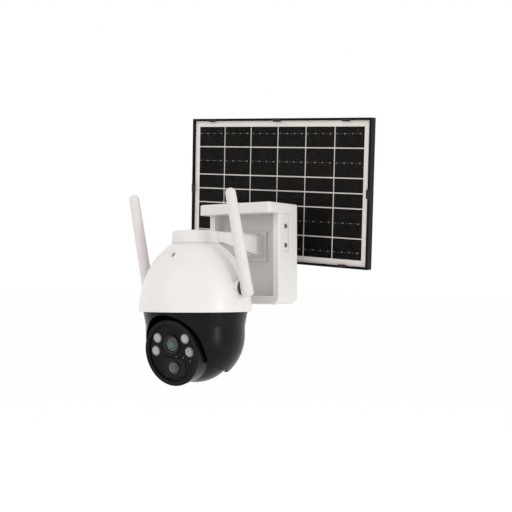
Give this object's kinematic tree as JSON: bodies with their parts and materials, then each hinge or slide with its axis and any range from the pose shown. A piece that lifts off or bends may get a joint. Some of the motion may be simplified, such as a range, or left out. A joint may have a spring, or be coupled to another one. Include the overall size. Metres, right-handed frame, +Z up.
{
  "type": "security camera",
  "caption": "Pan and tilt security camera under a dome on a wall bracket, with fold-down antennas and a solar panel on a swivel behind it.",
  "frame": {"origin": "centre of the wall screw square on the rear face of the wall plate", "axes": "+Y into the wall, +Z up, the camera looks along -Y"},
  "size_m": [0.2846, 0.302, 0.334],
  "materials": {
    "white_shell": "satin white moulded plastic",
    "black_shell": "semi-gloss black moulded plastic",
    "painted_steel": "white powder coat",
    "steel": "plain steel",
    "black_frame": "black anodised",
    "panel_glass": "clear glass",
    "solar_cell": "dark cell under glass",
    "white_backing": "white back sheet",
    "circuit_board": "green solder mask",
    "motor_metal": "zinc plated can",
    "gear_plastic": "natural acetal",
    "lens_glass": "coated lens glass",
    "led_lens": "clear moulded lens",
    "emitter": "phosphor",
    "sensor_lens": "dark translucent polyethylene",
    "sensor_can": "metal can",
    "rubber": "moulded rubber",
    "battery_wrap": "shrink wrap",
    "dark_window": "dark window"
  },
  "bodies": {
    "mount": {"adapter_plate": "painted_steel", "adapter_screws": "steel", "antenna_socket_left": "white_shell", "antenna_socket_right": "white_shell", "arm_bolts": "steel", "battery_pack": "battery_wrap", "bracket_housing": "white_shell", "bracket_rear_cover": "white_shell", "bracket_side_screws": "steel", "bracket_visor": "white_shell", "camera_arm": "white_shell", "charge_board": "circuit_board", "charge_socket": "black_shell", "dome_chassis": "gear_plastic", "dome_shell": "white_shell", "light_sensor_window": "dark_window", "main_board": "circuit_board", "pan_motor": "motor_metal", "speaker": "black_shell", "support_arm": "painted_steel", "swivel_base": "black_shell", "wall_plate": "painted_steel"},
    "pan_head": {"pan_shell": "black_shell", "pan_turntable": "black_shell", "pan_ring_gear": "gear_plastic"},
    "pan_pinion": {"pan_pinion": "gear_plastic"},
    "tilt_ball": {"ball_front_shell": "black_shell", "ball_rear_shell": "black_shell", "bezel_ring": "black_shell", "face_plate": "black_shell", "light_lenses": "led_lens", "light_emitters": "emitter", "light_board": "circuit_board", "lens_barrel": "black_shell", "lens_ring": "black_shell", "lens_glass": "lens_glass", "image_sensor": "sensor_can", "sensor_board": "circuit_board", "motion_sensor_lens": "sensor_lens", "motion_sensor": "sensor_can", "tilt_axles": "steel", "tilt_carrier": "black_shell", "tilt_motor": "motor_metal"},
    "antenna_left": {"antenna_left": "white_shell"},
    "antenna_right": {"antenna_right": "white_shell"},
    "reset_button": {"reset_button": "rubber"},
    "panel_swivel": {"swivel_knuckle": "black_shell"},
    "solar_panel": {"tilt_bolt": "steel", "tilt_knob": "black_shell", "panel_mount": "painted_steel", "panel_frame": "black_frame", "panel_glass": "panel_glass", "panel_backing": "white_backing", "panel_white_sheet": "white_backing", "solar_cells": "solar_cell", "frame_clips": "black_shell", "junction_box": "black_shell", "panel_outlet": "black_shell"}
  },
  "joints": [
    {"name": "pan", "type": "hinge", "parent": "mount", "child": "pan_head", "pos_m": [-0.0005, -0.238, -0.179], "axis": [0, 0, 1], "range_deg": [-175, 175]},
    {"name": "tilt", "type": "hinge", "parent": "pan_head", "child": "tilt_ball", "pos_m": [-0.0005, -0.238, -0.185], "axis": [1, 0, 0], "range_deg": [-5, 55]},
    {"name": "pan_drive", "type": "hinge", "parent": "mount", "child": "pan_pinion", "pos_m": [-0.0005, -0.2047, -0.122], "axis": [0, 0, 1], "range_deg": [-760, 760]},
    {"name": "antenna_left_fold", "type": "hinge", "parent": "mount", "child": "antenna_left", "pos_m": [-0.0715, -0.238, -0.126], "axis": [1, 0, 0], "range_deg": [-31.8, 73.2]},
    {"name": "antenna_right_fold", "type": "hinge", "parent": "mount", "child": "antenna_right", "pos_m": [0.0705, -0.238, -0.126], "axis": [1, 0, 0], "range_deg": [-27.6, 77.4]},
    {"name": "reset_press", "type": "slide", "parent": "mount", "child": "reset_button", "axis": [0, 0, 1], "range_m": [0, 0.0006], "stiffness_N_per_m": 1500},
    {"name": "panel_turn", "type": "hinge", "parent": "mount", "child": "panel_swivel", "pos_m": [0, 0, 0], "axis": [0, 1, 0], "range_deg": [-25, 15]},
    {"name": "panel_lean", "type": "hinge", "parent": "panel_swivel", "child": "solar_panel", "pos_m": [0, -0.042, 0], "axis": [0.9963, 0, -0.0854], "range_deg": [-14, 20]}
  ],
  "couplings": [
    {"joint": "pan_drive", "follows": "pan", "ratio": -4.2857}
  ]
}
